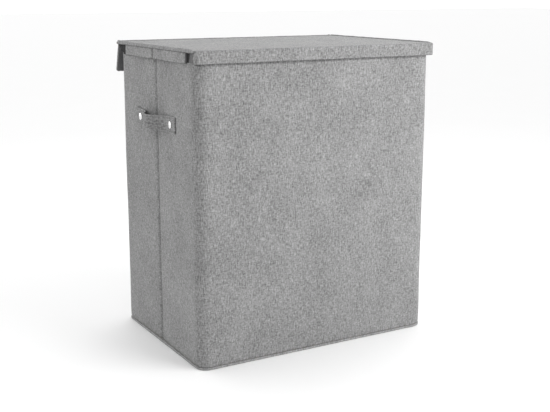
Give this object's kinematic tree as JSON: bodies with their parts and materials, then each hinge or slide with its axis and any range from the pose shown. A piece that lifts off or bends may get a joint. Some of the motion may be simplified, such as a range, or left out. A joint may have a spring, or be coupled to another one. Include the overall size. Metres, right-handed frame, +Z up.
{
  "type": "double laundry hamper",
  "caption": "Fabric laundry hamper with a stiffened box, a hinged lid with folded rim and rear flap, side carrying straps and two lift-out bags side by side.",
  "frame": {"origin": "on the floor under the middle of the box, at the centre of the bottom panel's underside", "axes": "+Z up, +X to the right as seen from the front, +Y towards the back where the lid is hinged"},
  "size_m": [0.6086, 0.4259, 0.635],
  "materials": {
    "linen": "heathered grey linen-look polyester, matt",
    "lining": "dark grey non-woven lining, matt",
    "board": "pressed fibreboard, plain",
    "bag": "plain woven grey polyester, slightly shiny",
    "webbing": "black ribbed webbing",
    "strip": "black hook-and-loop tape",
    "rivet": "polished nickel"
  },
  "bodies": {
    "hamper": {"outer_cover": "linen", "rim_binding": "linen", "inner_lining": "lining", "front_board": "board", "back_board": "board", "left_front_board": "board", "left_rear_board": "board", "right_front_board": "board", "right_rear_board": "board", "bottom_panel": "linen", "base_board": "lining", "back_hook_strip": "strip", "left_bag": "bag", "left_bag_hem": "lining", "left_bag_front_hook_strip": "strip", "left_bag_back_hook_strip": "strip", "left_bag_front_loop_strip": "strip", "left_bag_back_loop_strip": "strip", "right_bag": "bag", "right_bag_hem": "lining", "right_bag_front_hook_strip": "strip", "right_bag_back_hook_strip": "strip", "right_bag_front_loop_strip": "strip", "right_bag_back_loop_strip": "strip", "left_handle": "linen", "right_handle": "linen", "left_front_rivet": "rivet", "left_rear_rivet": "rivet", "right_front_rivet": "rivet", "right_rear_rivet": "rivet", "left_front_washer": "rivet", "left_rear_washer": "rivet", "right_front_washer": "rivet", "right_rear_washer": "rivet"},
    "lid": {"lid_cover": "linen", "lid_board": "board", "lid_lining": "lining", "lip_board": "board", "lip_lining": "lining", "left_flange_board": "board", "left_flange_lining": "lining", "right_flange_board": "board", "right_flange_lining": "lining"},
    "rear_flap": {"flap_cover": "linen", "flap_board": "board", "flap_lining": "lining", "flap_loop_strip": "strip"},
    "left_front_webbing": {"left_bag_front_handle": "webbing"},
    "left_back_webbing": {"left_bag_back_handle": "webbing"},
    "right_front_webbing": {"right_bag_front_handle": "webbing"},
    "right_back_webbing": {"right_bag_back_handle": "webbing"}
  },
  "joints": [
    {"name": "lid_hinge", "type": "hinge", "parent": "hamper", "child": "lid", "pos_m": [0, 0.2046, 0.635], "axis": [-1, 0, 0], "range_deg": [0, 250]},
    {"name": "flap_press", "type": "hinge", "parent": "hamper", "child": "rear_flap", "pos_m": [0, 0.2046, 0.635], "axis": [-1, 0, 0], "range_deg": [0, 15.5]},
    {"name": "left_front_webbing_swing", "type": "hinge", "parent": "hamper", "child": "left_front_webbing", "pos_m": [-0.13495, -0.1857, 0.6103], "axis": [1, 0, 0], "range_deg": [0, 90]},
    {"name": "left_back_webbing_swing", "type": "hinge", "parent": "hamper", "child": "left_back_webbing", "pos_m": [-0.13495, 0.1857, 0.6103], "axis": [-1, 0, 0], "range_deg": [0, 90]},
    {"name": "right_front_webbing_swing", "type": "hinge", "parent": "hamper", "child": "right_front_webbing", "pos_m": [0.13495, -0.1857, 0.6103], "axis": [1, 0, 0], "range_deg": [0, 90]},
    {"name": "right_back_webbing_swing", "type": "hinge", "parent": "hamper", "child": "right_back_webbing", "pos_m": [0.13495, 0.1857, 0.6103], "axis": [-1, 0, 0], "range_deg": [0, 90]}
  ]
}
